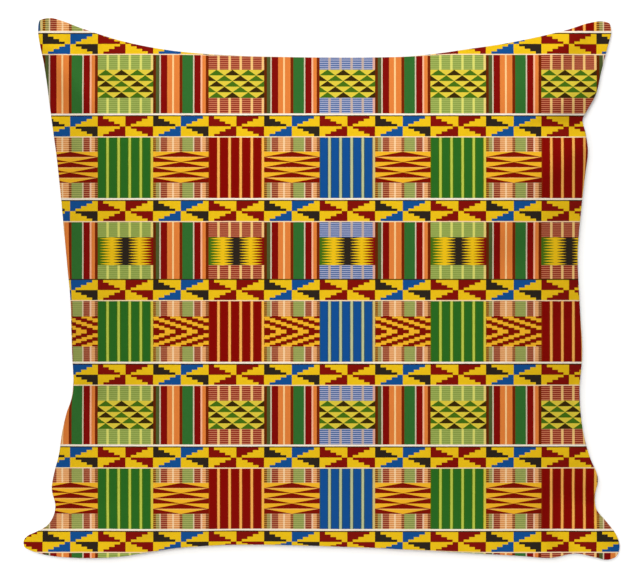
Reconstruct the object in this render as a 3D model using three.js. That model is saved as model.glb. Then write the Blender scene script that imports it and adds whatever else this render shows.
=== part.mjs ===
// A square throw cushion in a printed cotton cover, filled with fibre and lying on its back.
//
// Two square panels are sewn together round the edge with no piping, so the cushion is one
// crowned, closed form with a knife edge. The filling draws the four sides in and leaves an ear
// at each corner. The front is up, the top seam is at +Y, and the weight of the cushion presses
// a flat patch into its back. Lengths are in millimetres, +Z is up, and the origin is on the
// surface that the cushion lies on, under the middle of its outline.
import * as THREE from "three";

// Driving dimensions
const FRONT_RISE = 82; // crown of the front above the seam
const BACK_DEPTH = 66; // depth that the back would have if nothing pressed on it
const SEAM_HEIGHT = 46; // height of the seam above the surface at the middle of a side
const EAR_DROOP = 11; // how much lower the corner ears hang
const EAR_SHARPNESS = 3; // higher keeps the droop nearer to the corners
const SEAM_WAVE = 1.8; // how far the seam rises and falls along a side
const SEAM_WAVE_TURN = 8; // radians of that wave from the middle of a side to an ear
const CROWN_POWER = 0.71; // 1 is a parabola, and 0.5 an ellipse with blunt edges
const CROWN_FULLNESS = 2.35; // 2 is plain, and more makes the middle flatter
const FLAT_BLEND = 5; // roundness where the back leaves the surface
const FOLD_START_HEIGHT = 9; // half thickness at which a fold has its full depth
const GRID_STEPS = 42; // steps across each panel
const EDGE_GATHERING = 0.72; // 0 is even steps, and 1 the most crowding towards the seams

const COVER_COLOUR = new THREE.Color(0.64, 0.38, 0.12);

// The seam seen from the front, side by side, clockwise from the top left ear. Each table starts
// at the point of its own ear and ends before the next ear.
const TOP_SEAM = [
  { x: -210.5, y: 201 },
  { x: -203.5, y: 203 },
  { x: -195, y: 201 },
  { x: -179, y: 195 },
  { x: -149, y: 185.5 },
  { x: -117, y: 179 },
  { x: -83, y: 175.5 },
  { x: -27, y: 173.5 },
  { x: 40, y: 173.5 },
  { x: 76, y: 174.5 },
  { x: 110, y: 179 },
  { x: 144, y: 185 },
  { x: 184, y: 194.5 },
  { x: 201, y: 200 },
  { x: 210.5, y: 201 },
];
const RIGHT_SEAM = [
  { x: 215.5, y: 199 },
  { x: 217.5, y: 193.5 },
  { x: 215, y: 182 },
  { x: 209.5, y: 162 },
  { x: 205.5, y: 146 },
  { x: 199, y: 134.5 },
  { x: 195.5, y: 127 },
  { x: 197.5, y: 116.5 },
  { x: 199.5, y: 103 },
  { x: 197, y: 82 },
  { x: 194.5, y: 59 },
  { x: 192, y: 26 },
  { x: 193.5, y: -17 },
  { x: 195, y: -46 },
  { x: 193, y: -78 },
  { x: 196, y: -107 },
  { x: 200.5, y: -126 },
  { x: 206, y: -142 },
  { x: 205, y: -154 },
  { x: 207.5, y: -165 },
  { x: 214.5, y: -174 },
  { x: 221, y: -184.5 },
  { x: 222.8, y: -194 },
];
const BOTTOM_SEAM = [
  { x: 220.5, y: -200.5 },
  { x: 214.5, y: -203 },
  { x: 205.5, y: -201 },
  { x: 190, y: -198 },
  { x: 172, y: -201 },
  { x: 149, y: -199.5 },
  { x: 108, y: -197.5 },
  { x: 63, y: -195 },
  { x: 0, y: -192.5 },
  { x: -60, y: -191.5 },
  { x: -104, y: -193.5 },
  { x: -128, y: -197 },
  { x: -151, y: -200.5 },
  { x: -173, y: -201.8 },
  { x: -196, y: -200.8 },
  { x: -213, y: -197.5 },
];
const LEFT_SEAM = [
  { x: -221, y: -193.5 },
  { x: -222.8, y: -189.5 },
  { x: -220.5, y: -185.5 },
  { x: -213.5, y: -181.8 },
  { x: -206, y: -177.5 },
  { x: -201.5, y: -171 },
  { x: -199.5, y: -162 },
  { x: -202, y: -150 },
  { x: -200, y: -138 },
  { x: -196.5, y: -125 },
  { x: -193.5, y: -106 },
  { x: -190.5, y: -93 },
  { x: -187, y: -82 },
  { x: -186, y: -70 },
  { x: -187, y: -46 },
  { x: -188.5, y: -8 },
  { x: -191.5, y: 30 },
  { x: -195, y: 62 },
  { x: -199, y: 104 },
  { x: -203.5, y: 137 },
  { x: -208, y: 168 },
  { x: -212, y: 192 },
];

// Folds of the front panel. Each runs from a place near the seam (x, y) to an inner end
// (toX, toY), and its depth fades on the way. A negative depth is a ridge.
const FRONT_FOLDS = [
  { x: -206, y: 190, toX: -140, toY: 92, width: 13, depth: -4.5 },
  { x: -188, y: 178, toX: -122, toY: 104, width: 12, depth: 4.5 },
  { x: -205, y: 150, toX: -150, toY: 70, width: 12, depth: 3.5 },
  { x: 206, y: 186, toX: 132, toY: 100, width: 12, depth: 5 },
  { x: 186, y: 190, toX: 112, toY: 118, width: 13, depth: -3.5 },
  { x: 195, y: 127, toX: 118, toY: 84, width: 12, depth: 6 },
  { x: 199, y: 103, toX: 130, toY: 62, width: 12, depth: -4.5 },
  { x: 193, y: -78, toX: 122, toY: -62, width: 13, depth: 4.5 },
  { x: 205, y: -154, toX: 128, toY: -118, width: 13, depth: 6.5 },
  { x: 212, y: -186, toX: 150, toY: -140, width: 12, depth: -4.5 },
  { x: 190, y: -198, toX: 150, toY: -158, width: 11, depth: 5 },
  { x: -199, y: -162, toX: -128, toY: -112, width: 13, depth: 6.5 },
  { x: -205, y: -184, toX: -146, toY: -146, width: 11, depth: -4 },
  { x: -186, y: -76, toX: -118, toY: -58, width: 13, depth: 5 },
  { x: -176, y: -198, toX: -120, toY: -150, width: 12, depth: 4 },
  { x: -190, y: 12, toX: -128, toY: 6, width: 16, depth: 2.5 },
  { x: 192, y: 22, toX: 132, toY: 14, width: 16, depth: 2.5 },
  { x: -52, y: 172, toX: -46, toY: 112, width: 15, depth: 2.5 },
  { x: 62, y: 172, toX: 54, toY: 116, width: 15, depth: 2.5 },
  { x: 40, y: -192, toX: 36, toY: -136, width: 15, depth: 3 },
  { x: -70, y: -190, toX: -60, toY: -138, width: 15, depth: 3 },
];

// Soft unevenness of the filling under the front panel. A negative rise is a hollow.
const FILLING_LUMPS = [
  { x: -72, y: 96, radius: 62, rise: 2.6 },
  { x: 58, y: 112, radius: 56, rise: 2 },
  { x: 24, y: 20, radius: 50, rise: -2.4 },
  { x: 112, y: -34, radius: 54, rise: -2.6 },
  { x: -66, y: -118, radius: 60, rise: 2.4 },
  { x: 70, y: -126, radius: 56, rise: 2.2 },
  { x: -122, y: -6, radius: 48, rise: -1.8 },
  { x: 130, y: 58, radius: 46, rise: 1.8 },
];

const SEAM_TABLES = [TOP_SEAM, RIGHT_SEAM, BOTTOM_SEAM, LEFT_SEAM];
const SPLINE_SAMPLES = 14; // samples of the seam's curve between two of its points

// Splits the closed curve of the seam at its four ears. Each side is a function that takes the
// share of the side's length, from 0 to 1, and gives a point.
function seamSides() {
  const rows = SEAM_TABLES.flat();
  const points = rows.map(({ x, y }) => new THREE.Vector3(x, y, 0));
  const loop = new THREE.CatmullRomCurve3(points, true, "centripetal");
  let firstRow = 0;
  return SEAM_TABLES.map((table) => {
    const start = firstRow / rows.length;
    const end = (firstRow + table.length) / rows.length;
    firstRow += table.length;
    return sideByLength(loop, start, end, table.length * SPLINE_SAMPLES);
  });
}

function sideByLength(loop, start, end, samples) {
  const places = [];
  const lengths = [0];
  for (let i = 0; i <= samples; i++) {
    places.push(loop.getPoint((start + ((end - start) * i) / samples) % 1));
    if (i > 0) lengths.push(lengths[i - 1] + places[i].distanceTo(places[i - 1]));
  }
  const total = lengths[samples];
  return (share) => {
    const wanted = share * total;
    let i = 1;
    while (i < samples && lengths[i] < wanted) i++;
    const along = (wanted - lengths[i - 1]) / (lengths[i] - lengths[i - 1]);
    return places[i - 1].clone().lerp(places[i], along);
  };
}

const [topSeam, rightSeam, bottomSeam, leftSeam] = seamSides();

// The place in the outline, seen from the front, of the panel's point (u, v). Both run from -1
// to 1, u to the right and v up. It blends the four sides, so the seam's bends fade inwards.
function planPoint(u, v) {
  const s = (u + 1) / 2;
  const t = (v + 1) / 2;
  const across = bottomSeam(1 - s).multiplyScalar(1 - t).addScaledVector(topSeam(s), t);
  const upwards = leftSeam(t).multiplyScalar(1 - s).addScaledVector(rightSeam(1 - t), s);
  const corners = leftSeam(0)
    .multiplyScalar((1 - s) * (1 - t))
    .addScaledVector(bottomSeam(0), s * (1 - t))
    .addScaledVector(topSeam(0), (1 - s) * t)
    .addScaledVector(rightSeam(0), s * t);
  return across.add(upwards).sub(corners);
}

// Share of the crown at a panel's point: 1 in the middle and 0 on the seam.
function crown(u, v) {
  const profile = (q) => Math.pow(1 - Math.pow(Math.abs(q), CROWN_FULLNESS), CROWN_POWER);
  return profile(u) * profile(v);
}

function seamHeight(u, v) {
  const droop = EAR_DROOP * Math.pow(Math.abs(u * v), EAR_SHARPNESS);
  const alongTopAndBottom = v * v * Math.sin(SEAM_WAVE_TURN * u + v);
  const alongSides = u * u * Math.sin(SEAM_WAVE_TURN * v - u);
  const offEars = 1 - u * u * v * v;
  return SEAM_HEIGHT - droop + SEAM_WAVE * (alongTopAndBottom + alongSides) * offEars;
}

// How far the folds pull the front down at a place in the outline.
function foldDepth(x, y) {
  let depth = 0;
  for (const fold of FRONT_FOLDS) {
    const runX = fold.toX - fold.x;
    const runY = fold.toY - fold.y;
    const length = Math.hypot(runX, runY);
    const along = ((x - fold.x) * runX + (y - fold.y) * runY) / (length * length);
    const aside = ((x - fold.x) * runY - (y - fold.y) * runX) / length;
    if (along > 1 || along < -1) continue;
    const fade = along > 0 ? Math.pow(1 - along * along, 2) : 1;
    depth += fold.depth * fade * Math.exp(-Math.pow(aside / fold.width, 2));
  }
  return depth;
}

function lumpHeight(x, y) {
  return FILLING_LUMPS.reduce((height, lump) => {
    const distance = Math.hypot(x - lump.x, y - lump.y) / lump.radius;
    return height + lump.rise * Math.exp(-distance * distance);
  }, 0);
}

function frontHeight(u, v, x, y) {
  const rise = FRONT_RISE * crown(u, v);
  const firm = Math.min(1, rise / FOLD_START_HEIGHT);
  return seamHeight(u, v) + rise + firm * (lumpHeight(x, y) * crown(u, v) - foldDepth(x, y));
}

// The back hangs below the seam and is pressed flat where it meets the surface, at height 0.
function backHeight(u, v) {
  const free = seamHeight(u, v) - BACK_DEPTH * crown(u, v);
  if (free >= FLAT_BLEND) return free;
  if (free <= -FLAT_BLEND) return 0;
  return Math.pow(free + FLAT_BLEND, 2) / (4 * FLAT_BLEND);
}

// Steps from -1 to 1 that crowd towards both ends, where the panels turn into the seam.
function gridStep(i) {
  const even = (2 * i) / GRID_STEPS - 1;
  const crowded = Math.sin((even * Math.PI) / 2);
  return even + (crowded - even) * EDGE_GATHERING;
}

// Both panels as one closed surface. They share the points of the seam.
function cushionGeometry() {
  const positions = [];
  const front = [];
  const back = [];
  for (let j = 0; j <= GRID_STEPS; j++) {
    front.push([]);
    back.push([]);
    for (let i = 0; i <= GRID_STEPS; i++) {
      const [u, v] = [gridStep(i), gridStep(j)];
      const { x, y } = planPoint(u, v);
      const onSeam = i === 0 || j === 0 || i === GRID_STEPS || j === GRID_STEPS;
      front[j].push(positions.length / 3);
      positions.push(x, y, onSeam ? seamHeight(u, v) : frontHeight(u, v, x, y));
      if (onSeam) {
        back[j].push(front[j][i]);
      } else {
        back[j].push(positions.length / 3);
        positions.push(x, y, backHeight(u, v));
      }
    }
  }
  const geometry = new THREE.BufferGeometry();
  geometry.setAttribute("position", new THREE.Float32BufferAttribute(positions, 3));
  geometry.setIndex([...panelTriangles(front, false), ...panelTriangles(back, true)]);
  geometry.computeBoundingBox();
  const middle = geometry.boundingBox.getCenter(new THREE.Vector3());
  geometry.translate(-middle.x, -middle.y, 0);
  geometry.computeVertexNormals();
  return geometry;
}

// The diagonals of the grid run into the ears, so that no triangle lies wholly on the seam.
function panelTriangles(grid, facesDown) {
  const triangles = [];
  const half = GRID_STEPS / 2;
  for (let j = 0; j < GRID_STEPS; j++) {
    for (let i = 0; i < GRID_STEPS; i++) {
      const [a, b] = [grid[j][i], grid[j][i + 1]];
      const [c, d] = [grid[j + 1][i + 1], grid[j + 1][i]];
      const rising = i < half === j < half;
      const pair = rising
        ? [[a, b, c], [a, c, d]]
        : [[a, b, d], [b, c, d]];
      for (const corners of pair) triangles.push(...(facesDown ? corners.reverse() : corners));
    }
  }
  return triangles;
}

const cover = new THREE.MeshStandardMaterial({
  name: "printed_cotton",
  color: COVER_COLOUR,
  roughness: 0.85,
  metalness: 0,
});

const cushion = new THREE.Mesh(cushionGeometry(), cover);
cushion.name = "cushion";

const part = new THREE.Group();
part.add(cushion);

export default part;
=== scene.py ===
"""A square throw cushion in a strip-patterned printed cotton cover, lying on its back.

The file is laid out as an add-on: property groups hold the sizes and dyes, one operator makes the
cushion, one sets the stage, and a panel lists them. Run as a script, it does all of it in order.
The form is worked out in millimetres. Properties, meshes and maps are in metres.
"""

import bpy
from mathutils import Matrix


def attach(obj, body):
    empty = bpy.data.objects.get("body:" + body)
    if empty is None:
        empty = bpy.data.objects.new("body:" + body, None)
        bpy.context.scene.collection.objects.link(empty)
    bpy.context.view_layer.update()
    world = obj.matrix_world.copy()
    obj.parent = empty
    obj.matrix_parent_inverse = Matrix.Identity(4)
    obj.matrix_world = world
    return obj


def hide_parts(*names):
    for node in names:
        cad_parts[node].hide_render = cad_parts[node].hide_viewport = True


bl_info = {
    "name": "Printed throw cushion",
    "version": (1, 0, 0),
    "blender": (4, 5, 0),
    "location": "3D View > Sidebar > Cushion",
    "description": "Makes a throw cushion in a strip-patterned printed cotton cover, and its stage",
    "category": "Object",
}

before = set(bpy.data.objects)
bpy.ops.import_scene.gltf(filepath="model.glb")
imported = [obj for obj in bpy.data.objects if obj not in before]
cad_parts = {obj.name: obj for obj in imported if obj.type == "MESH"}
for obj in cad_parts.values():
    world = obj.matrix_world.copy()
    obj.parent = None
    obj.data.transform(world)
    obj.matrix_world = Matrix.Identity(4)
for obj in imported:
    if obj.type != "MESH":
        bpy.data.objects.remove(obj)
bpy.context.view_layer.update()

import math
from collections import namedtuple

import bpy
import numpy as np
from bpy.props import FloatProperty, FloatVectorProperty, IntProperty, PointerProperty
from mathutils import Vector

MM = 0.001
CUSHION_NODE = "cushion"
CLOTH_MAP = "cloth"  # the cloth's own coordinates, in metres
BAKE_MAP = "OFBake"
LIT_BY_LOW_LAMPS = "lit_by_low_lamps"
LIT_BY_FLOOR_LIGHT = "lit_by_floor_light"

Fold = namedtuple("Fold", "x y to_x to_y width depth")
Lump = namedtuple("Lump", "x y radius rise")
StripeDye = namedtuple("StripeDye", "plain thread tint")
Solid = namedtuple("Solid", "base edge line last thread tint line_tint last_tint")
Unit = namedtuple("Unit", "start motif motif_top motif_height")
Lamp = namedtuple("Lamp", "name place size share on_floor")

# X and Y of the seam seen from the front, in millimetres, clockwise from the top left ear.
# Each side's table starts at the point of its own ear and ends before the next ear.
TOP_SEAM = (
    (-211.4, 201.5), (-203.5, 203.7), (-195, 201.7), (-179, 195.5), (-149, 185.5),
    (-117, 179), (-83, 175.5), (-27, 173.5), (40, 173.1), (76, 174.8),
    (110, 179.4), (144, 184.8), (184, 194), (201, 199.8), (210.8, 201.2),
)
RIGHT_SEAM = (
    (216.4, 199.3), (218.2, 193.5), (215.5, 182), (210, 162), (206, 146), (199.8, 134.5),
    (196, 127), (198, 116.5), (199.5, 103), (197, 82), (194.5, 59), (192, 26),
    (193.8, -17), (195.3, -46), (193.5, -78), (196, -107), (201, -126), (207.5, -142),
    (205.5, -154), (206.5, -165), (213.5, -174), (221.6, -184.5), (224.2, -194),
)
BOTTOM_SEAM = (
    (221.3, -200.7), (214.5, -203.7), (205.5, -201.8), (190, -198.8), (172, -201.6),
    (149, -200), (108, -197.5), (63, -195), (0, -192.5), (-60, -191.5),
    (-104, -193.5), (-128, -197), (-151, -200.5), (-173, -202), (-196, -201.3), (-214, -198),
)
LEFT_SEAM = (
    (-222.4, -194), (-223.8, -189.5), (-221, -185.5), (-213.5, -181.8), (-206, -177.5),
    (-201.5, -171), (-199.5, -162), (-202, -150), (-200, -138), (-196.5, -125),
    (-193.5, -106), (-190.5, -93), (-187, -82), (-185.6, -70), (-186.4, -46), (-187.6, -8),
    (-191.3, 30), (-194.1, 62), (-198.7, 104), (-203.5, 137), (-208, 168), (-212.8, 193),
)
SEAM_TABLES = (TOP_SEAM, RIGHT_SEAM, BOTTOM_SEAM, LEFT_SEAM)
SPLINE_SAMPLES = 14  # samples of the seam's curve between two of its points

# Folds of the front panel, in millimetres. Each runs from a place near the seam to an inner end,
# and its depth fades on the way. A negative depth is a ridge.
FRONT_FOLDS = (
    Fold(-206, 190, -140, 92, 13, -4.5),
    Fold(-188, 178, -122, 104, 12, 4.5),
    Fold(-205, 150, -150, 70, 12, 3.5),
    Fold(206, 186, 132, 100, 12, 5),
    Fold(186, 190, 112, 118, 13, -3.5),
    Fold(195, 127, 124, 88, 12, 3.2),
    Fold(199, 103, 130, 62, 12, -3.2),
    Fold(193, -78, 122, -62, 13, 4.5),
    Fold(205, -154, 128, -118, 13, 6.5),
    Fold(212, -186, 150, -140, 12, -4.5),
    Fold(190, -198, 150, -158, 11, 5),
    Fold(-199, -162, -128, -112, 13, 6.5),
    Fold(-205, -184, -146, -146, 11, -4),
    Fold(-186, -76, -118, -58, 13, 5),
    Fold(-176, -198, -120, -150, 12, 4),
    Fold(-192, 30, -128, 20, 16, 3),
    Fold(-188, -30, -132, -26, 12, -2),
    Fold(192, 22, 132, 14, 16, 1.5),
    Fold(-52, 172, -46, 112, 15, 2.5),
    Fold(62, 172, 54, 116, 15, 2.5),
    Fold(40, -192, 36, -136, 15, 3),
    Fold(-70, -190, -60, -138, 15, 3),
)

# Soft unevenness of the filling under the front panel, in millimetres. A negative rise is a hollow.
FILLING_LUMPS = (
    Lump(-72, 96, 62, 2.6),
    Lump(58, 112, 56, 2),
    Lump(24, 20, 50, -2.4),
    Lump(112, -34, 54, -2.6),
    Lump(-66, -118, 60, 2.4),
    Lump(70, -126, 56, 2.2),
    Lump(-122, -6, 48, -1.8),
    Lump(130, 58, 46, 1.8),
)
LOWEST_FRONT = 1  # the front stays this many millimetres above the surface

# The small gathers along the seam are several waves, whose counts differ by up to a spread.
GATHER_SEED = 11
GATHER_WAVES = 5
GATHER_SPREAD = 9
GATHER_DAMPING = 3  # what the sum of the waves is divided by

# The slopes between which the print starts to run on down the form instead of lying flat in plan
RUN_ON_FROM, RUN_ON_FULL = 1.8, 3.0
EDGE_SHARPNESS = 40  # power that keeps the outward push of a side close to that side
TINY = 1e-9  # the least length that anything is divided by


def dye(red, green, blue):
    """A dye given as the eye sees it, from 0 to 255, as the linear colour that shaders use."""
    shares = [value / 255 for value in (red, green, blue)]
    return tuple(s / 12.92 if s <= 0.04045 else ((s + 0.055) / 1.055) ** 2.4 for s in shares)


def length(name, description, millimetres):
    """A property for a length, in metres, whose default is given in millimetres."""
    return FloatProperty(
        name=name, description=description, default=millimetres * MM, unit="LENGTH", precision=5
    )


def colour(name, description, red, green, blue):
    """A property for a dye."""
    return FloatVectorProperty(
        name=name, description=description, default=dye(red, green, blue), subtype="COLOR",
        size=3, min=0, max=1,
    )


def amount(name, description, default, unit="NONE"):
    """A property for a plain number, or for an angle where the unit is ROTATION."""
    return FloatProperty(name=name, description=description, default=default, unit=unit)


def fraction(name, description, default):
    """A property for a share, from 0 to 1."""
    return FloatProperty(
        name=name, description=description, default=default, subtype="FACTOR", min=0, max=1
    )


def tally(name, description, default):
    """A property for a whole number."""
    return IntProperty(name=name, description=description, default=default)


class CUSHION_PG_form(bpy.types.PropertyGroup):
    """Sizes of the filled cushion."""

    front_rise: length("Front rise", "Crown of the front above the seam", 82)
    back_depth: length("Back depth", "Depth of the back if nothing pressed on it", 66)
    seam_height: length("Seam height", "Height of the seam at the middle of a side", 46)
    ear_droop: length("Ear droop", "How much lower the corner ears hang", 11)
    ear_sharpness: amount("Ear sharpness", "Higher keeps the droop nearer to the corners", 3)
    seam_wave: length("Seam wave", "How far the seam rises and falls along a side", 1.8)
    seam_wave_turn: amount(
        "Seam wave turn", "Turn of that wave from mid side to ear", 8, unit="ROTATION"
    )
    crown_power: amount("Crown power", "1 is a parabola and 0.5 an ellipse", 0.71)
    crown_fullness: amount("Crown fullness", "More makes the middle flatter", 2.35)
    flat_blend: length("Flat blend", "Roundness where the back leaves the surface", 5)
    fold_start: length("Fold start", "Rise above the seam at which a fold has its full depth", 9)
    steps: tally("Steps", "Steps across each panel", 220)
    gathering: fraction("Gathering", "Crowding of the steps towards the seams", 0.85)
    seam_inset: length("Seam inset", "How deep the seam sits between its two rolls", 1.5)
    seam_roll: length("Seam roll", "Width of the groove that the seam sits in", 1.4)
    edge_bulge: length("Edge bulge", "How far the cloth beside the seam stands out", 1.2)
    edge_reach: length("Edge reach", "How far that bulge runs in from the seam", 6)
    pucker_depth: length("Pucker depth", "Height of the small gathers along the seam", 0.8)
    pucker_pitch: length("Pucker pitch", "Usual distance between those gathers", 13)
    pucker_reach: length("Pucker reach", "How far the gathers run in from the seam", 15)


class CUSHION_PG_settling(bpy.types.PropertyGroup):
    """How the cloth settles over the filling."""

    steps: tally("Steps", "Steps across each simulated panel", 100)
    frames: tally("Frames", "Simulated frames", 20)
    quality: tally("Quality", "Simulated steps in a frame", 6)
    mass: amount("Mass", "Of each simulated point, in kilograms", 0.2)
    tension: amount("Tension", "How much the cloth resists a pull", 40)
    compression: amount("Compression", "How much it resists being pushed together", 12)
    shear: amount("Shear", "How much it resists being pulled askew", 8)
    bending: amount("Bending", "How much it resists being bent", 0.6)
    pressure: amount("Pressure", "Push of the filling", 4)
    spare: fraction("Spare cloth", "Share by which the cloth is larger than the form", 0.03)
    cap: length("Cap", "The farthest that the settling may move a point", 5)
    softening: tally("Softening", "Rounds that take out the sharpest wrinkles", 10)


class CUSHION_PG_print(bpy.types.PropertyGroup):
    """Sizes and dyes of the strip pattern."""

    column: length("Column", "Width of one strip", 41.59)
    first_column: length("First column", "Where a blue strip's left edge lies", -1.5)
    first_row: length("First row", "Where the repeat starts, below the top seam's ears", 193.55)
    back_shift: length("Back shift", "How far the back panel's print is moved sideways", 17)
    crown_ease: fraction("Crown ease", "Share by which the print is drawn in over the crown", 0.01)
    wobble: length("Wobble", "How far the printed edges stray", 0.12)
    yellow: colour("Yellow", "Ground of the step bands", 242, 196, 24)
    red: colour("Red", "Steps of the solid strips", 132, 17, 8)
    blue: colour("Blue", "Steps of the striped strips", 20, 80, 147)
    black: colour("Black", "Steps and comb", 46, 38, 29)
    white: colour("White", "Thick line above each band", 254, 240, 219)
    pale: colour("Pale", "Thin line below each band", 252, 222, 178)
    line: colour("Line", "Shade of the thin dark line above each band", 48, 36, 8)
    line_cover: fraction("Line cover", "How much of the band the dark line hides", 0.92)
    gold: colour("Gold", "Ground of the chevrons and hourglasses", 248, 184, 40)
    maroon: colour("Maroon", "Chevrons and hourglasses", 128, 17, 3)
    apricot: colour("Apricot", "Thin lines in the hourglasses", 252, 186, 92)
    lime: colour("Lime", "Ground of the triangles", 226, 202, 62)
    leaf: colour("Leaf green", "Triangles and comb", 70, 112, 22)
    bark: colour("Bark brown", "Dark triangles", 56, 41, 8)


class CUSHION_PG_cloth(bpy.types.PropertyGroup):
    """Finish of the cotton."""

    thread: length("Thread", "Distance between two threads of the plain weave", 0.45)
    weave_depth: length("Weave depth", "Height of a thread over the next one", 0.05)
    slub: fraction("Slub", "Unevenness of the threads", 0.35)
    fading: fraction("Fading", "How much the dyes vary over the cloth", 0.05)
    roughness: fraction("Roughness", "Of the cotton", 0.86)
    gloss: fraction("Gloss", "Mirrored light of the cotton", 0.02)
    sheen: fraction("Sheen", "Soft light along the cloth's edge", 0.008)
    sheen_roughness: fraction("Sheen roughness", "How widely that light spreads", 0.5)


class CUSHION_PG_stage(bpy.types.PropertyGroup):
    """Camera, lights and floor."""

    frame_width: length("Frame width", "Width of the view at the height of the seam", 474)
    centre_x: length("Centre X", "Middle of the view", -4.15)
    centre_y: length("Centre Y", "Middle of the view", -0.85)
    distance: length("Distance", "From the camera to the seam", 8000)
    lamps: amount("Lamps", "Watts of all the lamps together", 104)
    world: amount("World", "Light that the pale surroundings cast", 0.47)
    floor_size: length("Floor size", "Side of the square floor", 12000)
    floor_gap: length("Floor gap", "How far the floor lies under the cushion", 0.5)
    floor_cast: fraction("Floor cast", "Share of light that the floor throws back", 0.23)
    floor_seen: fraction("Floor seen", "That share as the camera sees it", 0.9)
    floor_glow: amount("Floor glow", "Brightness that the floor shows but doesn't cast", 0.06)
    floor_light: amount("Floor light", "Strength of the light that lays the short shadow", 2.1)
    floor_light_spread: amount(
        "Floor light spread", "How wide that light's disk looks from the floor", 0.08,
        unit="ROTATION",
    )


class InMillimetres:
    """Reads the lengths of a property group in millimetres."""

    def __init__(self, group):
        self.group = group

    def __getattr__(self, name):
        return getattr(self.group, name) / MM


def set_all(thing, **values):
    """Sets several attributes of a thing and returns it."""
    for name, value in values.items():
        setattr(thing, name, value)
    return thing


class SeamCurve:
    """The closed seam, split at its four ears."""

    def __init__(self, tables):
        self.points = np.concatenate(tables).astype(float)
        self.sides = []
        first = 0
        for table in tables:
            last = first + len(table)
            self.sides.append(self.side(first, last, len(table) * SPLINE_SAMPLES))
            first = last

    def place(self, at):
        """The point of a centripetal spline at a row number, which may lie between two rows."""
        row = np.floor(at).astype(int)
        share = (at - row)[:, None]
        before, here, there, after = (
            self.points[(row + i) % len(self.points)] for i in (-1, 0, 1, 2)
        )
        gap = [
            np.linalg.norm(b - a, axis=1)[:, None] ** 0.5
            for a, b in ((before, here), (here, there), (there, after))
        ]
        middle = (there - here) / gap[1]
        leave = (
            (here - before) / gap[0] - (there - before) / (gap[0] + gap[1]) + middle
        ) * gap[1]
        arrive = (
            middle - (after - here) / (gap[1] + gap[2]) + (after - there) / gap[2]
        ) * gap[1]
        return (
            here
            + leave * share
            + (3 * (there - here) - 2 * leave - arrive) * share**2
            + (2 * (here - there) + leave + arrive) * share**3
        )

    def side(self, first, last, samples):
        """A function from the share of a side's length, 0 to 1, to its points."""
        places = self.place(np.linspace(first, last, samples + 1))
        steps = np.linalg.norm(np.diff(places, axis=0), axis=1)
        shares = np.concatenate([[0], np.cumsum(steps)]) / steps.sum()
        return lambda share: np.stack([np.interp(share, shares, line) for line in places.T], -1)


def even_steps(steps, gathering=0.0):
    """Steps from -1 to 1. Gathering crowds them towards both ends."""
    even = np.linspace(-1, 1, steps + 1)
    return even + (np.sin(even * math.pi / 2) - even) * gathering


def plan_places(at):
    """X and Y, in millimetres, of the crossings of a panel whose steps are at in both ways.

    The four sides are blended, so the seam's bends fade inwards. Rows run up the panel.
    """
    top, right, bottom, left = SeamCurve(SEAM_TABLES).sides
    share = (at + 1) / 2
    s = share[None, :, None]
    t = share[:, None, None]
    across = bottom(1 - share)[None, :] * (1 - t) + top(share)[None, :] * t
    upwards = left(share)[:, None] * (1 - s) + right(1 - share)[:, None] * s
    start = np.zeros(1)
    corners = (
        left(start) * (1 - s) * (1 - t)
        + bottom(start) * s * (1 - t)
        + top(start) * (1 - s) * t
        + right(start) * s * t
    )
    return across + upwards - corners


class PanelForm:
    """Heights of both panels over one grid of steps, in millimetres."""

    def __init__(self, form, at):
        self.mm = InMillimetres(form)
        self.plan = plan_places(at)
        profile = (1 - np.abs(at) ** form.crown_fullness).clip(0) ** form.crown_power
        self.crown = profile[None, :] * profile[:, None]
        self.seam = self.seam_height(form, *np.meshgrid(at, at))
        self.front_rise = self.mm.front_rise * self.crown
        self.back_rise = self.mm.back_depth * self.crown

    def seam_height(self, form, u, v):
        """The seam's height, which droops to the ears and waves a little, spread over the panel."""
        droop = self.mm.ear_droop * np.abs(u * v) ** form.ear_sharpness
        along_top_and_bottom = v * v * np.sin(form.seam_wave_turn * u + v)
        along_sides = u * u * np.sin(form.seam_wave_turn * v - u)
        off_ears = 1 - u * u * v * v
        wave = self.mm.seam_wave * (along_top_and_bottom + along_sides) * off_ears
        return self.mm.seam_height - droop + wave

    def fold_depth(self):
        """How far the folds pull the front down."""
        depth = np.zeros_like(self.crown)
        for fold in FRONT_FOLDS:
            run_x, run_y = fold.to_x - fold.x, fold.to_y - fold.y
            span = math.hypot(run_x, run_y)
            off_x, off_y = self.plan[..., 0] - fold.x, self.plan[..., 1] - fold.y
            along = (off_x * run_x + off_y * run_y) / span**2
            aside = (off_x * run_y - off_y * run_x) / span
            fade = np.where(along > 0, (1 - along.clip(0, 1) ** 2) ** 2, 1.0)
            fade[along < -1] = 0
            depth += fold.depth * fade * np.exp(-((aside / fold.width) ** 2))
        return depth

    def lump_height(self):
        """How far the filling's unevenness lifts the front."""
        height = np.zeros_like(self.crown)
        for lump in FILLING_LUMPS:
            off_x, off_y = self.plan[..., 0] - lump.x, self.plan[..., 1] - lump.y
            height += lump.rise * np.exp(-((np.hypot(off_x, off_y) / lump.radius) ** 2))
        return height

    def front(self):
        """The front, whose folds and lumps fade out where it nears the seam."""
        firm = (self.front_rise / self.mm.fold_start).clip(0, 1)
        uneven = self.lump_height() * self.crown - self.fold_depth()
        return self.seam + self.front_rise + firm * uneven

    def back(self):
        """The back as it would hang if nothing pressed on it."""
        return self.seam - self.back_rise


def pressed_flat(height, blend):
    """Heights that end on the surface at 0, with a rounding where they reach it."""
    rounded = (height + blend).clip(0) ** 2 / (4 * blend)
    return np.where(height >= blend, height, rounded)


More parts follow.
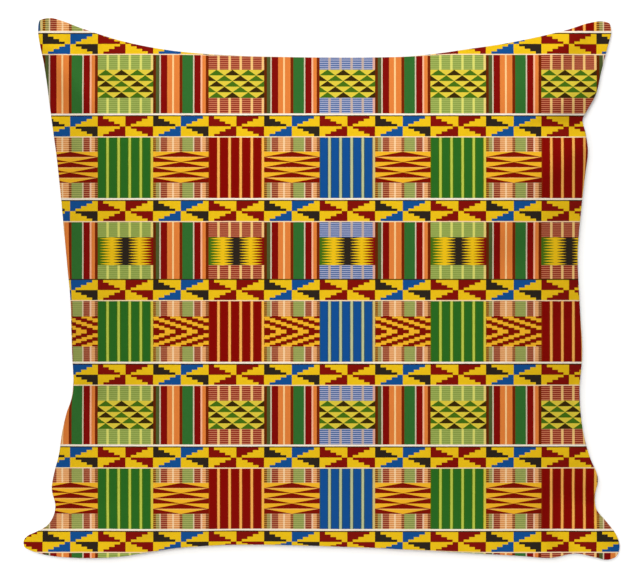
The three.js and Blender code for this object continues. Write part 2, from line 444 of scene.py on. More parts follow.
def spread_weights(from_steps, to_at):
    """Weights that carry values on even steps to the places to_at, by cubic curves."""
    place = (to_at + 1) / 2 * from_steps
    first = np.clip(np.floor(place), 0, from_steps - 1).astype(int)
    t = place - first
    cubic = (
        -0.5 * t + t**2 - 0.5 * t**3,
        1 - 2.5 * t**2 + 1.5 * t**3,
        0.5 * t + 2 * t**2 - 1.5 * t**3,
        -0.5 * t**2 + 0.5 * t**3,
    )
    weights = np.zeros((len(to_at), from_steps + 1))
    for offset, weight in zip((-1, 0, 1, 2), cubic):
        near = np.clip(first + offset, 0, from_steps)
        np.add.at(weights, (np.arange(len(to_at)), near), weight)
    return weights


def panel_quads(front, back):
    """What each panel's table holds at the corners of its quads. The back's turn the other way."""
    def quads(table):
        corners = np.stack([table[:-1, :-1], table[:-1, 1:], table[1:, 1:], table[1:, :-1]], 2)
        return corners.reshape(-1, *corners.shape[2:])

    return np.concatenate([quads(front), quads(back)[:, ::-1]])


def panel_numbers(count):
    """Point numbers of the front and the back. The two share the points of the seam."""
    front = np.arange(count * count).reshape(count, count)
    back = front.copy()
    inner = count - 2
    back[1:-1, 1:-1] = count * count + np.arange(inner * inner).reshape(inner, inner)
    return front, back


def closed_mesh(name, front, back):
    """A closed mesh from two tables of places in millimetres that share their outer edge."""
    mesh = bpy.data.meshes.new(name)
    places = np.concatenate([front.reshape(-1, 3), back[1:-1, 1:-1].reshape(-1, 3)]) * MM
    mesh.from_pydata(places, [], panel_quads(*panel_numbers(len(front))).tolist())
    mesh.update()
    return mesh


def capped(move, cap):
    """Moves whose length nears the cap but never passes it."""
    size = np.linalg.norm(move, axis=-1, keepdims=True)
    return move * cap * np.tanh(size / cap) / size.clip(TINY)


def softened(move, rounds):
    """Moves averaged with their neighbours again and again, to take out the sharpest wrinkles."""
    soft = move.copy()
    for _ in range(rounds):
        beside = soft[:-2, 1:-1] + soft[2:, 1:-1] + soft[1:-1, :-2] + soft[1:-1, 2:]
        soft[1:-1, 1:-1] = (soft[1:-1, 1:-1] * 4 + beside) / 8
    return soft


def add_cloth(cloth, settling):
    """Gives an object Blender's Cloth, held at the seam and pressed out from within."""
    count = settling.steps + 1
    edge = np.ones((count, count), bool)
    edge[1:-1, 1:-1] = False
    seam = cloth.vertex_groups.new(name="seam")
    seam.add(np.flatnonzero(edge.ravel()).tolist(), 1, "REPLACE")
    made = cloth.modifiers.new("settling", "CLOTH")
    set_all(
        made.settings, quality=settling.quality, mass=settling.mass,
        tension_stiffness=settling.tension, compression_stiffness=settling.compression,
        shear_stiffness=settling.shear, bending_stiffness=settling.bending,
        vertex_group_mass=seam.name, shrink_min=-settling.spare,
        use_pressure=True, uniform_pressure_force=settling.pressure,
    )
    made.settings.effector_weights.gravity = 0
    made.collision_settings.use_collision = False
    set_all(made.point_cache, frame_start=1, frame_end=settling.frames)


def settle_cloth(form, settling):
    """Lets the filling press the cloth out, and returns how far each panel's points moved."""
    panel = PanelForm(form, even_steps(settling.steps))
    front = np.dstack([panel.plan, panel.front()])
    back = np.dstack([panel.plan, pressed_flat(panel.back(), panel.mm.flat_blend)])
    mesh = closed_mesh("settling_cloth", front, back)
    cloth = bpy.data.objects.new("settling_cloth", mesh)
    scene = bpy.context.scene
    scene.collection.objects.link(cloth)
    add_cloth(cloth, settling)
    for number in range(1, settling.frames + 1):
        scene.frame_set(number)
    settled = cloth.evaluated_get(bpy.context.evaluated_depsgraph_get()).data
    places = np.empty(len(settled.vertices) * 3)
    settled.vertices.foreach_get("co", places)
    places = places.reshape(-1, 3) / MM
    scene.frame_set(1)
    bpy.data.objects.remove(cloth)
    bpy.data.meshes.remove(mesh)
    return [
        softened(capped(places[numbers] - start, settling.cap / MM), settling.softening)
        for numbers, start in zip(panel_numbers(settling.steps + 1), (front, back))
    ]


def arc_from_seam(places):
    """Each point's shortest way to the seam along the steps of its own row or column."""
    across = np.linalg.norm(np.diff(places, axis=1), axis=2)
    upwards = np.linalg.norm(np.diff(places, axis=0), axis=2)
    zero = np.zeros((len(places), 1))
    left = np.hstack([zero, np.cumsum(across, axis=1)])
    low = np.vstack([zero.T, np.cumsum(upwards, axis=0)])
    return np.minimum.reduce([left, left[:, -1:] - left, low, low[-1:] - low])


def seam_gathers(mm, places, arc):
    """How far the small gathers along the seam lift each point."""
    draw = np.random.default_rng(GATHER_SEED)
    count = len(places)
    last = count - 1
    edge = np.concatenate([places[0], places[1:, -1], places[-1, -2::-1], places[-2:0:-1, 0]])
    along = np.concatenate([[0], np.cumsum(np.linalg.norm(np.diff(edge, axis=0), axis=1))])
    waves = round(along[-1] / mm.pucker_pitch)
    height = np.zeros(len(edge))
    for _ in range(GATHER_WAVES):
        number = waves + draw.integers(-GATHER_SPREAD, GATHER_SPREAD + 1)
        height += np.sin(2 * math.pi * (number * along / along[-1] + draw.random()))
    height = np.append(height, height[0]) / GATHER_DAMPING

    # Each point takes most from the side that it is nearest to.
    low, right, high, left = (height[side * last :][:count] for side in range(4))
    rows, columns = np.mgrid[0:count, 0:count]
    lifts = (low[columns], right[rows], high[::-1][columns], left[::-1][rows])
    steps_away = (rows, last - columns, last - rows, columns)
    weights = [1 / (steps + 1.0) ** 3 for steps in steps_away]
    lift = sum(weight * side for weight, side in zip(weights, lifts)) / sum(weights)
    fade = np.exp(-arc / mm.pucker_reach) * (1 - np.exp(-arc / mm.seam_roll))
    return lift * mm.pucker_depth * fade


def outward(plan):
    """Unit vectors in plan that point out of the outline, from the panel's own steps."""
    steps = np.linspace(-1, 1, len(plan))
    u, v = np.meshgrid(steps, steps)
    out = 0
    for axis, turn, at in ((0, (1, -1), u), (1, (-1, 1), v)):
        nearness = np.abs(at) ** EDGE_SHARPNESS * np.sign(at)
        push = np.gradient(plan, axis=axis)[..., ::-1] * turn * nearness[..., None]
        out = out + push / np.linalg.norm(push, axis=-1).max()
    return out / np.linalg.norm(out, axis=-1, keepdims=True).clip(TINY)


def add_seam_detail(mm, places, facing, side):
    """Adds a panel's gathers, its groove at the seam and its bulge beside it."""
    arc = arc_from_seam(places)
    places[..., 2] += side * seam_gathers(mm, places, arc)
    inset = mm.seam_inset * np.exp(-((arc / mm.seam_roll) ** 2))
    bulge = mm.edge_bulge * np.exp(-((arc / mm.edge_reach) ** 2))
    places[..., :2] += facing * (bulge - inset)[..., None]


def cloth_places(places, plan, rise, crown_ease):
    """The cloth's own coordinates: its places in plan, run on where the form turns down."""
    def run_on(flat, axis):
        drop = np.abs(np.diff(rise, axis=axis))
        step = np.abs(np.diff(flat, axis=axis))
        past = drop / step.clip(TINY) - RUN_ON_FROM
        steepness = (past / (RUN_ON_FULL - RUN_ON_FROM)).clip(0, 1)
        spare = (np.hypot(drop, step) - step) * steepness
        spare = np.insert(np.cumsum(spare, axis=axis), 0, 0, axis=axis)
        return spare - np.take(spare, [spare.shape[axis] // 2], axis=axis)

    spare = np.dstack([run_on(plan[..., 0], 1), run_on(plan[..., 1], 0)])
    return (places[..., :2] + spare) * (1 + crown_ease * rise / rise.max())[..., None]


def bake_places(cloth, half):
    """A panel's cloth coordinates fitted into the left or right half of a square map."""
    low = cloth.reshape(-1, 2).min(0)
    high = cloth.reshape(-1, 2).max(0)
    margin = 0.01
    room = np.array([0.5, 1]) - 2 * margin
    return (cloth - low) / (high - low) * room + margin + np.array([half * 0.5, 0])


def add_map(mesh, name, front, back):
    """Adds a map whose corners take their values from the tables of the front and the back."""
    corners = panel_quads(front, back).astype(np.float32)
    mesh.uv_layers.new(name=name).data.foreach_set("uv", corners.ravel())


def cushion_mesh(form, settling, printed):
    """The fine surface of the cushion, with its cloth coordinates."""
    at = even_steps(form.steps, form.gathering)
    panel = PanelForm(form, at)
    front = np.dstack([panel.plan, panel.front()])
    back = np.dstack([panel.plan, panel.back()])
    weights = spread_weights(settling.steps, at)
    for places, move in zip((front, back), settle_cloth(form, settling)):
        places += np.einsum("ij,jkc,lk->ilc", weights, move, weights, optimize=True)
    facing = outward(panel.plan)
    add_seam_detail(panel.mm, front, facing, 1)
    add_seam_detail(panel.mm, back, facing, -1)
    front[..., 2] = np.maximum(front[..., 2], LOWEST_FRONT)
    back[..., 2] = pressed_flat(back[..., 2], panel.mm.flat_blend)
    back[0], back[-1], back[:, 0], back[:, -1] = front[0], front[-1], front[:, 0], front[:, -1]
    middle = (front[..., :2].max((0, 1)) + front[..., :2].min((0, 1))) / 2
    for places in (front, back):
        places[..., :2] -= middle

    mesh = closed_mesh("cushion_cover", front, back)
    front_cloth = cloth_places(front, panel.plan, panel.front_rise, printed.crown_ease)
    back_cloth = cloth_places(back, panel.plan, panel.back_rise, printed.crown_ease)
    back_cloth[..., 0] = printed.back_shift / MM - back_cloth[..., 0]
    add_map(mesh, BAKE_MAP, bake_places(front_cloth, 0), bake_places(back_cloth, 1))
    add_map(mesh, CLOTH_MAP, front_cloth * MM, back_cloth * MM)
    mesh.shade_smooth()
    return mesh


def math_method(operation, swapped=False):
    """A method of Value that adds a Math node. Swapped puts the value itself last."""
    def method(self, *others):
        values = (self, *others)
        return self.chart.math(operation, *(values[::-1] if swapped else values))

    return method


class Value:
    """A node's output, to reckon with like a number. A comparison is 1 where it holds, else 0."""

    def __init__(self, chart, socket):
        self.chart = chart
        self.socket = socket

    __add__ = math_method("ADD")
    __radd__ = math_method("ADD", swapped=True)
    __sub__ = math_method("SUBTRACT")
    __rsub__ = math_method("SUBTRACT", swapped=True)
    __mul__ = math_method("MULTIPLY")
    __truediv__ = math_method("DIVIDE")
    __mod__ = math_method("FLOORED_MODULO")
    __lt__ = math_method("LESS_THAN")
    __gt__ = math_method("GREATER_THAN")
    __abs__ = math_method("ABSOLUTE")
    least = math_method("MINIMUM")
    most = math_method("MAXIMUM")
    whole = math_method("FLOOR")
    rest = math_method("FRACT")
    sine = math_method("SINE")

    def parts(self, count):
        """The whole number in the value times count, and what is left past it."""
        scaled = self * count
        return scaled.whole(), scaled.rest()

    def odd(self):
        """1 where a whole number is odd, else 0."""
        return (self * 0.5).rest() > 0.25

    def near(self, number):
        """1 where a whole number is that number, else 0."""
        return self.chart.math("COMPARE", self, number, 0.5)


class Chart:
    """Adds nodes to one tree. What it feeds them is a number, a colour or a Value."""

    # The Mix node's sockets by number: the share, the first, the second, and the output
    MIX_SOCKETS = {"RGBA": (0, 6, 7, 2), "FLOAT": (0, 2, 3, 0)}

    def __init__(self, tree):
        self.tree = tree

    def feed(self, socket, value):
        if isinstance(value, Value):
            self.tree.links.new(value.socket, socket)
        elif socket.type == "RGBA":
            socket.default_value = (*value, 1)
        else:
            socket.default_value = value

    def feed_all(self, node, **values):
        """Feeds inputs of a node by their names, in which _ stands for a space."""
        for name, value in values.items():
            self.feed(node.inputs[name.replace("_", " ")], value)

    def add(self, kind, settings=None, **values):
        """Adds a node, sets it up, feeds its inputs, and returns its outputs by their names."""
        made = set_all(self.tree.nodes.new(kind), **(settings or {}))
        self.feed_all(made, **values)
        return {socket.name: Value(self, socket) for socket in made.outputs}

    def effect(self, group, **values):
        return self.add("ShaderNodeGroup", {"node_tree": group}, **values)

    def math(self, operation, *values):
        made = set_all(self.tree.nodes.new("ShaderNodeMath"), operation=operation)
        for socket, value in zip(made.inputs, values):
            self.feed(socket, value)
        return Value(self, made.outputs[0])

    def mixed(self, kind, *values):
        made = set_all(self.tree.nodes.new("ShaderNodeMix"), data_type=kind)
        *inputs, output = self.MIX_SOCKETS[kind]
        for number, value in zip(inputs, values):
            self.feed(made.inputs[number], value)
        return Value(self, made.outputs[output])

    def mix(self, share, first, second):
        """A colour: the first where the share is 0, and the second where it is 1."""
        return self.mixed("RGBA", share, first, second)

    def blend(self, share, first, second):
        """A number between two, by the share."""
        return self.mixed("FLOAT", share, first, second)

    def steps(self, at, rows):
        """A colour that changes at once at each row's start. Rows are (start, colour)."""
        made = self.tree.nodes.new("ShaderNodeValToRGB")
        ramp = made.color_ramp
        ramp.interpolation = "CONSTANT"
        while len(ramp.elements) < len(rows):
            ramp.elements.new(1)
        for element, (start, shade) in zip(ramp.elements, rows):
            element.position = start
            element.color = (*shade, 1)
        self.feed(made.inputs[0], at)
        return Value(self, made.outputs[0])

    def split(self, vector):
        """The X and Y of a vector."""
        parts = self.add("ShaderNodeSeparateXYZ", Vector=vector)
        return parts["X"], parts["Y"]

    def join(self, x, y):
        return self.add("ShaderNodeCombineXYZ", X=x, Y=y)["Vector"]

    def noise(self, vector, scale, detail=2, roughness=0.5):
        """Noise that strays as far over 0 as under it."""
        made = self.add(
            "ShaderNodeTexNoise", Vector=vector, Scale=scale, Detail=detail, Roughness=roughness
        )
        return made["Fac"] - 0.5


def new_material(name):
    """A material, with the chart of its nodes and its shader node."""
    material = bpy.data.materials.new(name)
    material.use_nodes = True
    tree = material.node_tree
    return material, Chart(tree), tree.nodes["Principled BSDF"]


def new_effect(name, inputs, outputs):
    """A node group with named inputs and outputs. Returns it with its chart and its two ends."""
    group = bpy.data.node_groups.new(name, "ShaderNodeTree")
    kinds = {"value": "NodeSocketFloat", "colour": "NodeSocketColor", "vector": "NodeSocketVector"}
    for side, sockets in (("INPUT", inputs), ("OUTPUT", outputs)):
        for label, kind in sockets.items():
            group.interface.new_socket(name=label, in_out=side, socket_type=kinds[kind])
    chart = Chart(group)
    return group, chart, chart.add("NodeGroupInput"), group.nodes.new("NodeGroupOutput")


# The dyes of the striped strip. Where the strip is hatched, a thread and a tint take turns.
STRIPE_DYES = {
    "umber": StripeDye((100, 37, 3), (96, 28, 2), (193, 140, 55)),
    "olive": StripeDye((79, 91, 45), (136, 130, 73), (190, 174, 106)),
    "bone": StripeDye((213, 198, 169), (214, 195, 159), (233, 212, 163)),
    "wine": StripeDye((132, 12, 7), (132, 8, 5), (192, 124, 87)),
    "orange": StripeDye((231, 130, 58), (222, 138, 68), (246, 192, 136)),
    "cream": StripeDye((254, 206, 142), (246, 204, 150), (254, 218, 174)),
    "brown": StripeDye((119, 37, 4), (119, 35, 5), (190, 133, 80)),
    "green": StripeDye((50, 111, 46), (134, 146, 74), (172, 179, 99)),
    "salmon": StripeDye((254, 184, 146), (250, 190, 152), (244, 212, 174)),
}

# Where each stripe of the striped strip starts, in shares of the strip's width, and its dye
STRIPES = (
    (0, "umber"), (0.048, "olive"), (0.112, "bone"), (0.136, "wine"), (0.252, "orange"),
    (0.34, "cream"), (0.374, "orange"), (0.476, "brown"), (0.526, "green"), (0.716, "bone"),
    (0.741, "wine"), (0.854, "salmon"), (0.886, "orange"), (0.949, "brown"),
)

# The solid strips, in the order in which they follow each other across the cloth
SOLID_STRIPS = (
    Solid((20, 80, 149), (44, 86, 108), (192, 198, 148), (214, 190, 118),
          (36, 86, 148), (176, 178, 204), (202, 177, 162), (232, 174, 150)),
    Solid((43, 107, 34), (64, 110, 14), (191, 203, 76), (218, 200, 68),
          (136, 155, 70), (164, 180, 92), (224, 222, 112), (240, 214, 122)),
    Solid((137, 9, 3), (140, 36, 2), (254, 180, 86), (252, 188, 78),
          (138, 12, 6), (200, 122, 86), (252, 206, 128), (254, 204, 130)),
)
LINES_PER_SOLID = 5
LINE_START = 0.785  # of each fifth of a solid strip, as are the next two
EDGE_START = 0.69
EDGE_END = 0.1
THREAD_COVER = 0.86  # how much of a hatched line's thread is in the line's own tint

# What a strip puts out: its plain colour, and the two that take turns where it is hatched
STRIP_COLOURS = {"Plain": "colour", "Thread": "colour", "Tint": "colour"}


def striped_strip():
    """The striped strip."""
    group, chart, given, result = new_effect("striped_strip", {"Across": "value"}, STRIP_COLOURS)
    for label in STRIP_COLOURS:
        rows = [
            (start, dye(*getattr(STRIPE_DYES[name], label.lower()))) for start, name in STRIPES
        ]
        chart.feed(result.inputs[label], chart.steps(given["Across"], rows))
    return group


def solid_strip():
    """The solid strips with their five lines. Turn is 0, 1 or 2 for the three ground dyes."""
    group, chart, given, result = new_effect(
        "solid_strip", {"Across": "value", "Turn": "value"}, STRIP_COLOURS
    )
    turn = given["Turn"]

    def by_turn(field):
        first, second, third = (dye(*getattr(strip, field)) for strip in SOLID_STRIPS)
        return chart.mix(turn > 1.5, chart.mix(turn > 0.5, first, second), third)

    number, within = given["Across"].parts(LINES_PER_SOLID)
    on_line = within > LINE_START
    on_edge = (within > EDGE_START).most(within < EDGE_END)
    last = number.near(LINES_PER_SOLID - 1)
    line = chart.mix(last, by_turn("line"), by_turn("last"))
    line_tint = chart.mix(last, by_turn("line_tint"), by_turn("last_tint"))
    ground = chart.mix(on_edge, by_turn("base"), by_turn("edge"))
    chart.feed_all(
        result,
        Plain=chart.mix(on_line, ground, line),
        Thread=chart.mix(on_line * THREAD_COVER, by_turn("thread"), line_tint),
        Tint=chart.mix(on_line, by_turn("tint"), line_tint),
    )
    return group


def triangle_block(chart, across, down, printed):
    """Five rows of small triangles, green and dark in turn."""
    rows, half_triangles = 5, 7
    row, in_row = down.parts(rows)
    number, in_triangle = (across * half_triangles + row.odd()).parts(0.5)
    off_apex = abs(in_triangle * 2 - 1)
    dark = (number + ((row + 1) * 0.5).whole()).odd()
    shade = chart.mix(dark, printed.leaf, printed.bark)
    return chart.mix(off_apex < in_row, printed.lime, shade)


def hourglass_block(chart, across, down, printed):
    """Six rows of long maroon points on gold, with a pale line atop every other row."""
    rows, line_height = 6, 0.2
    row, in_row = down.parts(rows)
    off_middle = abs(across - 0.5) * 2
    maroon = chart.blend(row.odd(), off_middle < in_row, off_middle > 1 - in_row)
    on_line = row.odd() * (in_row < line_height)
    ground = chart.mix(on_line, printed.gold, printed.apricot)
    return chart.mix(maroon, ground, printed.maroon)


def comb_block(chart, across, down, printed):
    """Fine spikes that run into each other: green, yellow, black, yellow and red."""
    spike_rows = 10
    from_gap = abs((down * spike_rows).rest() * 2 - 1)

    def spikes(tip, root):
        """1 where spikes are that taper across the block from their roots to their tips."""
        return (across - tip) * (1 / (root - tip)) + from_gap > 1

    shade = chart.mix(spikes(tip=0.235, root=0.03), printed.yellow, printed.leaf)
    shade = chart.mix(spikes(tip=0.77, root=0.975), shade, printed.red)
    black = spikes(tip=0.275, root=0.455) * spikes(tip=0.745, root=0.55)
    return chart.mix(black, shade, printed.black)


def chevron_block(chart, across, down, printed):
    """Stepped maroon chevrons on gold, pointing right."""
    rows, units, pitch, maroon_width = 16, 10, 4, 2.1
    row = (down * rows).whole()
    from_end = row.least(rows - 1 - row)
    maroon = (across * units - (from_end + 1)) % pitch < maroon_width
    return chart.mix(maroon, printed.gold, printed.maroon)


def block(paint, printed):
    """A node group for one kind of block, from the function that works out its colour."""
    group, chart, given, result = new_effect(
        paint.__name__, {"Across": "value", "Down": "value"}, {"Colour": "colour"}
    )
    chart.feed_all(result, Colour=paint(chart, given["Across"], given["Down"], printed))
    return group


def step_band(printed):
    """Stepped half squares on yellow, two cells wide and two high."""
    group, chart, given, result = new_effect(
        "step_band", {"Across": "value", "Down": "value", "First": "colour", "Second": "colour"},
        {"Colour": "colour"},
    )
    steps = 4
    right, cell_across = given["Across"].parts(2)
    low, cell_down = given["Down"].parts(2)
    row = (cell_down * steps).whole()
    width = chart.blend(right, row + 1, steps - row) * (1 / (steps + 1))
    from_side = chart.blend(low, cell_across, 1 - cell_across)
    shade = chart.mix(abs(right - low), given["First"], given["Second"])
    chart.feed_all(result, Colour=chart.mix(from_side < width, printed.yellow, shade))
    return group


# The pattern's heights, in millimetres
REPEAT = 248.2
WHITE_LINE = 1.4  # not on the last unit
DARK_LINE = 0.85
BAND = 15.0
PALE_LINE = 0.8
HATCH_PITCH = 1.54
HATCH_TOPS = (0.06, 0.62)  # where the first thread starts below the top of a row and below a motif

# The units of the repeat, each a step band over a row of blocks. A unit starts below the top of
# the repeat, and its motif below the top of the row of blocks.
UNITS = (
    Unit(0, triangle_block, 11.15, 21.15),
    Unit(62.0, hourglass_block, 10.7, 23.3),
    Unit(125.5, comb_block, 11.35, 20.9),
    Unit(186.1, chevron_block, 11.55, 22.5),
)
STRAY_GRAIN = 260  # scale of the noise that makes printed edges stray


def unit_at(down):
    """The number of the unit at a depth in the repeat, and the depth within that unit."""
    unit = start = 0
    for here, before in zip(UNITS[1:], UNITS):
        past = down > here.start
        unit = past + unit
        start = past * (here.start - before.start) + start
    return unit, down - start


def row_of_blocks(chart, printed, across, number, unit, in_row):
    """The colour at a depth in a row of blocks. Every other strip is hatched around a motif."""
    on_units = [unit.near(order) for order in range(len(UNITS))]
    top = sum(on_unit * here.motif_top for on_unit, here in zip(on_units, UNITS))
    height = sum(on_unit * here.motif_height for on_unit, here in zip(on_units, UNITS))
    in_motif = (in_row - top) / height
    motif = None
    for on_unit, here in zip(on_units, UNITS):
        made = chart.effect(block(here.motif, printed), Across=across, Down=in_motif)["Colour"]
        motif = chart.mix(on_unit, motif, made) if motif else made

    striped = number.odd()
    stripes = chart.effect(striped_strip(), Across=across)
    solids = chart.effect(solid_strip(), Across=across, Turn=(number * 0.5) % len(SOLID_STRIPS))
    plain, thread, tint = (
        chart.mix(striped, solids[label], stripes[label]) for label in STRIP_COLOURS
    )
    hatch_top = chart.blend(in_motif > 1, HATCH_TOPS[0], top + height + HATCH_TOPS[1])
    in_hatch = ((in_row - hatch_top) * (1 / HATCH_PITCH)).rest()
    hatch = chart.mix(in_hatch < 0.5, tint, thread)

    # In the first and third units a motif fills the solid strips, and in the others the striped.
    has_motif = abs(striped - (1 - unit.odd()))
    on_motif = (in_motif > 0) * (in_motif < 1)
    return chart.mix(has_motif, plain, chart.mix(on_motif, hatch, motif))


def strip_print(printed):
    """The whole pattern from the cloth's coordinates."""
    group, chart, given, result = new_effect(
        "strip_print", {"Cloth": "vector", "Wobble": "value"}, {"Colour": "colour"}
    )
    stray = chart.noise(given["Cloth"], STRAY_GRAIN) * given["Wobble"]
    x, y = (flat + stray for flat in chart.split(given["Cloth"]))
    number, across = (x - printed.first_column).parts(1 / printed.column)
    unit, in_unit = unit_at((printed.first_row - y) * (1 / MM) % REPEAT)
    below_white = in_unit - (1 - unit.near(len(UNITS) - 1)) * WHITE_LINE
    below_dark = (below_white - DARK_LINE) * (1 / BAND)
    in_band = below_dark.most(0)
    in_row = below_white - (DARK_LINE + BAND + PALE_LINE)

    striped = number.odd()
    band = chart.effect(
        step_band(printed), Across=across, Down=in_band,
        First=chart.mix(striped, printed.red, printed.black),
        Second=chart.mix(striped, printed.red, printed.blue),
    )["Colour"]
    blocks = row_of_blocks(chart, printed, across, number, unit, in_row)
    shade = chart.mix(in_row < 0, blocks, printed.pale)
    shade = chart.mix(in_band < 1, shade, band)
    dark_band = chart.mix(printed.line_cover, band, printed.line)
    shade = chart.mix(below_dark < 0, shade, dark_band)
    chart.feed_all(result, Colour=chart.mix(below_white < 0, shade, printed.white))
    return group


def plain_weave():
    """Threads over and under each other. Height is from 0 to 1. Tone is painted shade: darker in
    the gaps between the threads, and a little lighter on their crowns.
    """
    group, chart, given, result = new_effect(
        "plain_weave", {"Cloth": "vector", "Thread": "value", "Slub": "value"},
        {"Height": "value", "Tone": "value"},
    )
    grain, stretch = 900, 0.06  # the scale of the slubs' noise, and how much is left along a thread
    over, under = 1, 0.6  # heights of a thread that passes over another and under it
    # Painted shade in the gaps between the threads, and a little painted light on their crowns
    gap_painted_shade, thread_crown_painted_light = 0.86, 1.03
    x, y = chart.split(given["Cloth"])

    def threads(at, slub_place):
        """The numbers of the threads, and their round backs."""
        number = at / given["Thread"] + chart.noise(slub_place, grain) * given["Slub"]
        return number.whole(), abs((number * math.pi).sine())

    warp_number, warp = threads(x, chart.join(x, y * stretch))
    weft_number, weft = threads(y, chart.join(x * stretch, y))
    crossing = (warp_number + weft_number).odd()
    warp_height = warp * chart.blend(crossing, over, under)
    height = warp_height.most(weft * chart.blend(crossing, under, over))
    # Tone follows the height, so the gaps get painted shade and the crowns painted light.
    chart.feed_all(result, Height=height, Tone=chart.blend(height, gap_painted_shade, thread_crown_painted_light))
    return group


def cloth_fading():
    """Slow and quick unevenness of the dyes, about 1."""
    group, chart, given, result = new_effect(
        "cloth_fading", {"Cloth": "vector", "Amount": "value"}, {"Tone": "value"}
    )
    quick_share = 1.6  # how much the quick unevenness counts against the slow
    slow = chart.noise(given["Cloth"], scale=14, detail=3)
    quick = chart.noise(given["Cloth"], scale=420, detail=3, roughness=0.7)
    chart.feed_all(result, Tone=(slow + quick * quick_share) * given["Amount"] + 1)
    return group


def cover_material(scene):
    """Printed plain-weave cotton."""
    printed, cloth = scene.cushion_print, scene.cushion_cloth
    material, chart, shader = new_material("printed_cotton_cover")
    place = chart.add("ShaderNodeUVMap", {"uv_map": CLOTH_MAP})["UV"]
    dyes = chart.effect(strip_print(printed), Cloth=place, Wobble=printed.wobble)["Colour"]
    weave = chart.effect(plain_weave(), Cloth=place, Thread=cloth.thread, Slub=cloth.slub)
    fading = chart.effect(cloth_fading(), Cloth=place, Amount=cloth.fading)
    # The dyes get the weave's painted shade in the thread gaps and painted light on the crowns, and
    # also vary with the cloth's uneven fading.
    weave_shade_and_fading = weave["Tone"] * fading["Tone"]
    shaded_faded_dyes = chart.add("ShaderNodeVectorMath", {"operation": "SCALE"}, Vector=dyes, Scale=weave_shade_and_fading)
    bump = chart.add(
        "ShaderNodeBump", Distance=cloth.weave_depth, Strength=1, Height=weave["Height"]
    )
    chart.feed_all(
        shader, Base_Color=shaded_faded_dyes["Vector"], Normal=bump["Normal"], Roughness=cloth.roughness,
        Specular_IOR_Level=cloth.gloss, Sheen_Weight=cloth.sheen,
        Sheen_Roughness=cloth.sheen_roughness,
    )
    return material


class CUSHION_OT_cover(bpy.types.Operator):
    """Make the filled cushion in its printed cover"""

    bl_idname = "cushion.make_cover"
    bl_label = "Filled cushion"

    def execute(self, context):
        scene = context.scene
        mesh = cushion_mesh(scene.cushion_form, scene.cushion_settling, scene.cushion_print)
        cover = bpy.data.objects.new("cushion_cover", mesh)
        scene.collection.objects.link(cover)
        bpy.data.collections.new(LIT_BY_LOW_LAMPS).objects.link(cover)
        mesh.materials.append(cover_material(scene))
        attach(cover, "root")
        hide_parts(CUSHION_NODE)
        return {"FINISHED"}


# Round soft lamps. Places and sizes are in metres, and shares are of all the watts.
# The four low lamps light the cushion alone, so that they cast no long shadow on the floor.
LAMPS = (
    Lamp("overhead_lamp", (-0.14, 0.2, 3.0), 0.35, 0.15, True),
    Lamp("far_lamp", (0.0, 2.8, 1.1), 1.0, 0.36, False),
    Lamp("far_right_lamp", (2.0, 2.0, 1.1), 1.0, 0.125, False),
    Lamp("near_lamp", (0.0, -2.8, 1.1), 1.0, 0.208, False),
    Lamp("near_left_lamp", (-2.0, -2.0, 1.1), 1.0, 0.155, False),
)
FLOOR_LIGHT_PLACE = (-0.11, 0.16, 4.0)  # in metres. Only its direction counts.
SENSOR_WIDTH = 36  # of the camera, in millimetres


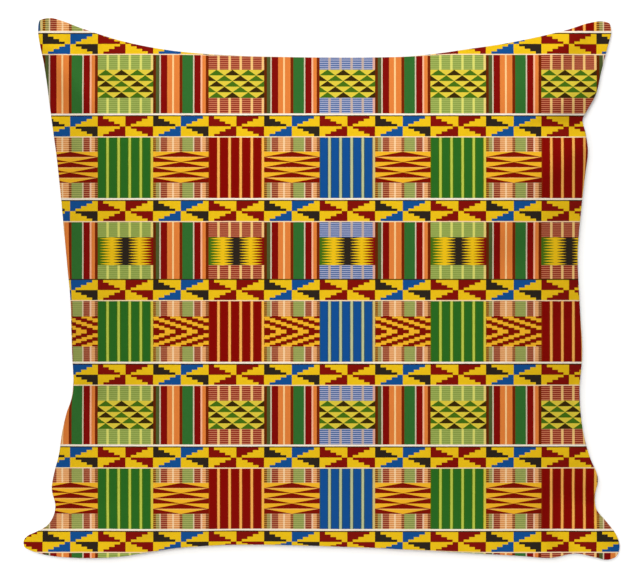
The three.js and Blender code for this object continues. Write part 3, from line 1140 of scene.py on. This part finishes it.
class CUSHION_OT_stage(bpy.types.Operator):
    """Set the pale floor, the soft lights and the camera"""

    bl_idname = "cushion.set_stage"
    bl_label = "Stage"

    def execute(self, context):
        scene = context.scene
        stage = scene.cushion_stage
        self.add_floor(scene, stage)
        self.add_world(scene, stage)
        self.add_lamps(scene, stage)
        self.add_floor_light(scene, stage)
        self.add_camera(scene, stage)
        scene.view_settings.view_transform = "Standard"
        return {"FINISHED"}

    def add_floor(self, scene, stage):
        half = stage.floor_size / 2
        mesh = bpy.data.meshes.new("pale_floor")
        corners = [(-half, -half, 0), (half, -half, 0), (half, half, 0), (-half, half, 0)]
        mesh.from_pydata(corners, [], [(0, 1, 2, 3)])
        floor = bpy.data.objects.new("pale_floor", mesh)
        floor.location.z = -stage.floor_gap
        scene.collection.objects.link(floor)
        bpy.data.collections.new(LIT_BY_FLOOR_LIGHT).objects.link(floor)
        material, chart, shader = new_material("pale_floor")
        seen = chart.add("ShaderNodeLightPath")["Is Camera Ray"]
        chart.feed_all(
            shader, Base_Color=chart.blend(seen, stage.floor_cast, stage.floor_seen),
            Roughness=0.9, Specular_IOR_Level=0.1, Emission_Color=(1, 1, 1),
            Emission_Strength=seen * stage.floor_glow,
        )
        mesh.materials.append(material)

    def add_world(self, scene, stage):
        """Surroundings that the camera sees white, and that cast less light than that."""
        world = bpy.data.worlds.new("pale_surroundings")
        world.use_nodes = True
        chart = Chart(world.node_tree)
        seen = chart.add("ShaderNodeLightPath")["Is Camera Ray"]
        background = world.node_tree.nodes["Background"]
        chart.feed_all(background, Color=(1, 1, 1), Strength=chart.blend(seen, stage.world, 1))
        scene.world = world

    def add_lamps(self, scene, stage):
        for lamp in LAMPS:
            data = bpy.data.lights.new(lamp.name, "AREA")
            set_all(data, shape="DISK", size=lamp.size, energy=stage.lamps * lamp.share)
            self.add_light(scene, data, lamp.place, None if lamp.on_floor else LIT_BY_LOW_LAMPS)

    def add_floor_light(self, scene, stage):
        """A distant light for the floor alone. The cushion stands in its way."""
        data = bpy.data.lights.new("floor_light", "SUN")
        set_all(data, energy=stage.floor_light, angle=stage.floor_light_spread)
        self.add_light(scene, data, FLOOR_LIGHT_PLACE, LIT_BY_FLOOR_LIGHT)

    def add_light(self, scene, data, place, lit):
        """A light that faces the middle of the floor. Lit names what it lights, if not all."""
        light = bpy.data.objects.new(data.name, data)
        set_all(
            light, location=place, rotation_mode="QUATERNION",
            rotation_quaternion=(-Vector(place)).to_track_quat("-Z", "Y"), visible_camera=False,
        )
        if lit:
            light.light_linking.receiver_collection = bpy.data.collections[lit]
        scene.collection.objects.link(light)

    def add_camera(self, scene, stage):
        data = bpy.data.cameras.new("camera")
        data.sensor_width = SENSOR_WIDTH
        data.lens = SENSOR_WIDTH * stage.distance / stage.frame_width
        data.clip_end = stage.distance * 3
        camera = bpy.data.objects.new("camera", data)
        height = scene.cushion_form.seam_height + stage.distance
        camera.location = (stage.centre_x, stage.centre_y, height)
        scene.collection.objects.link(camera)
        scene.camera = camera


class CUSHION_PT_panel(bpy.types.Panel):
    """Lists the cushion's makers and their sizes."""

    bl_label = "Printed throw cushion"
    bl_idname = "CUSHION_PT_panel"
    bl_space_type = "VIEW_3D"
    bl_region_type = "UI"
    bl_category = "Cushion"

    def draw(self, context):
        layout = self.layout
        for operator in OPERATORS:
            layout.operator(operator.bl_idname)
        for name, kind in PROPERTY_GROUPS.items():
            box = layout.box()
            box.label(text=kind.__doc__)
            for field in kind.__annotations__:
                box.prop(getattr(context.scene, name), field)


PROPERTY_GROUPS = {
    "cushion_form": CUSHION_PG_form,
    "cushion_settling": CUSHION_PG_settling,
    "cushion_print": CUSHION_PG_print,
    "cushion_cloth": CUSHION_PG_cloth,
    "cushion_stage": CUSHION_PG_stage,
}
OPERATORS = (CUSHION_OT_cover, CUSHION_OT_stage)
CLASSES = (*PROPERTY_GROUPS.values(), *OPERATORS, CUSHION_PT_panel)


def register():
    for kind in CLASSES:
        bpy.utils.register_class(kind)
    for name, kind in PROPERTY_GROUPS.items():
        setattr(bpy.types.Scene, name, PointerProperty(type=kind))


def unregister():
    for name in PROPERTY_GROUPS:
        delattr(bpy.types.Scene, name)
    for kind in reversed(CLASSES):
        bpy.utils.unregister_class(kind)


def main():
    register()
    bpy.ops.cushion.make_cover()
    bpy.ops.cushion.set_stage()


if __name__ == "__main__":
    main()
